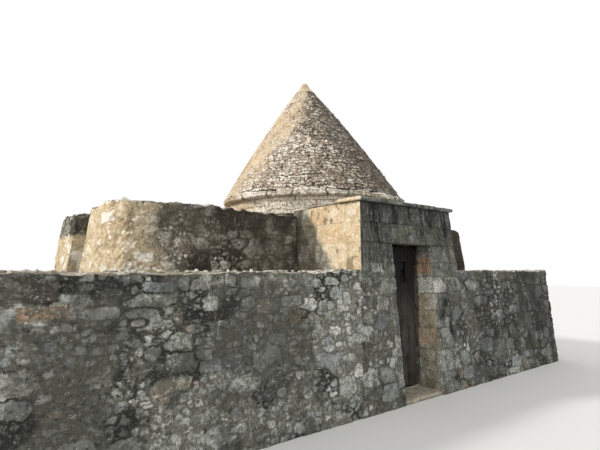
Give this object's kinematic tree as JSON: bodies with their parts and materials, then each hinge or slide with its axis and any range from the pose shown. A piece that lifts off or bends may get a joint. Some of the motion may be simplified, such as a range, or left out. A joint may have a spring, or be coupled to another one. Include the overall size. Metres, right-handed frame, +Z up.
{
  "type": "trullo house",
  "caption": "Dry-stone trullo house: two battered rubble tiers, a dressed stone door portal and a corbelled cone roof.",
  "frame": {"origin": "middle of the ground outline, at ground level", "axes": "+X to the right along the front wall, +Y into the building, +Z up"},
  "size_m": [9, 5.6, 4.907],
  "materials": {
    "rubble": "rough, weathered",
    "fill": "rough, earthy",
    "dressed_stone": "worn, stained",
    "roof_stone": "rough, weathered",
    "old_timber": "bare, weathered",
    "iron": "rusted"
  },
  "bodies": {
    "house": {"lower_front_wall_left": "rubble", "lower_front_wall_right": "rubble", "lower_back_wall": "rubble", "lower_left_wall": "rubble", "lower_right_wall": "rubble", "ledge_fill_left": "fill", "ledge_fill_right": "fill", "upper_front_wall_left": "rubble", "upper_front_wall_right": "rubble", "upper_back_wall": "rubble", "upper_right_wall": "rubble", "upper_left_wall_front": "rubble", "upper_left_wall_rear": "rubble", "terrace_fill_left": "fill", "terrace_fill_right": "fill", "stair_step_1": "dressed_stone", "stair_step_2": "dressed_stone", "stair_step_3": "dressed_stone", "portal_pier_left": "dressed_stone", "portal_pier_right": "dressed_stone", "door_lintel": "dressed_stone", "passage_lintel": "dressed_stone", "portal_top_course": "dressed_stone", "portal_cornice": "dressed_stone", "portal_roof": "dressed_stone", "threshold": "dressed_stone", "vault_side_courses": "rubble", "vault_base_courses": "rubble", "drum_wall": "rubble", "eave_course": "roof_stone", "cone_lower_courses": "roof_stone", "cone_middle_courses": "roof_stone", "cone_upper_courses": "roof_stone", "cone_cap": "roof_stone", "room_floor": "dressed_stone", "door_pintles": "iron", "room_wall_1": "rubble", "room_wall_2": "rubble", "room_wall_3": "rubble", "room_wall_4": "rubble", "room_wall_5": "rubble", "room_wall_6": "rubble", "room_wall_7": "rubble"},
    "door": {"door_boards": "old_timber", "door_ledges": "old_timber", "door_straps": "iron"}
  },
  "joints": [
    {"name": "door_hinge", "type": "hinge", "parent": "house", "child": "door", "pos_m": [-0.048, -2.347, 1], "axis": [0, 0, 1], "range_deg": [0, 85]}
  ]
}
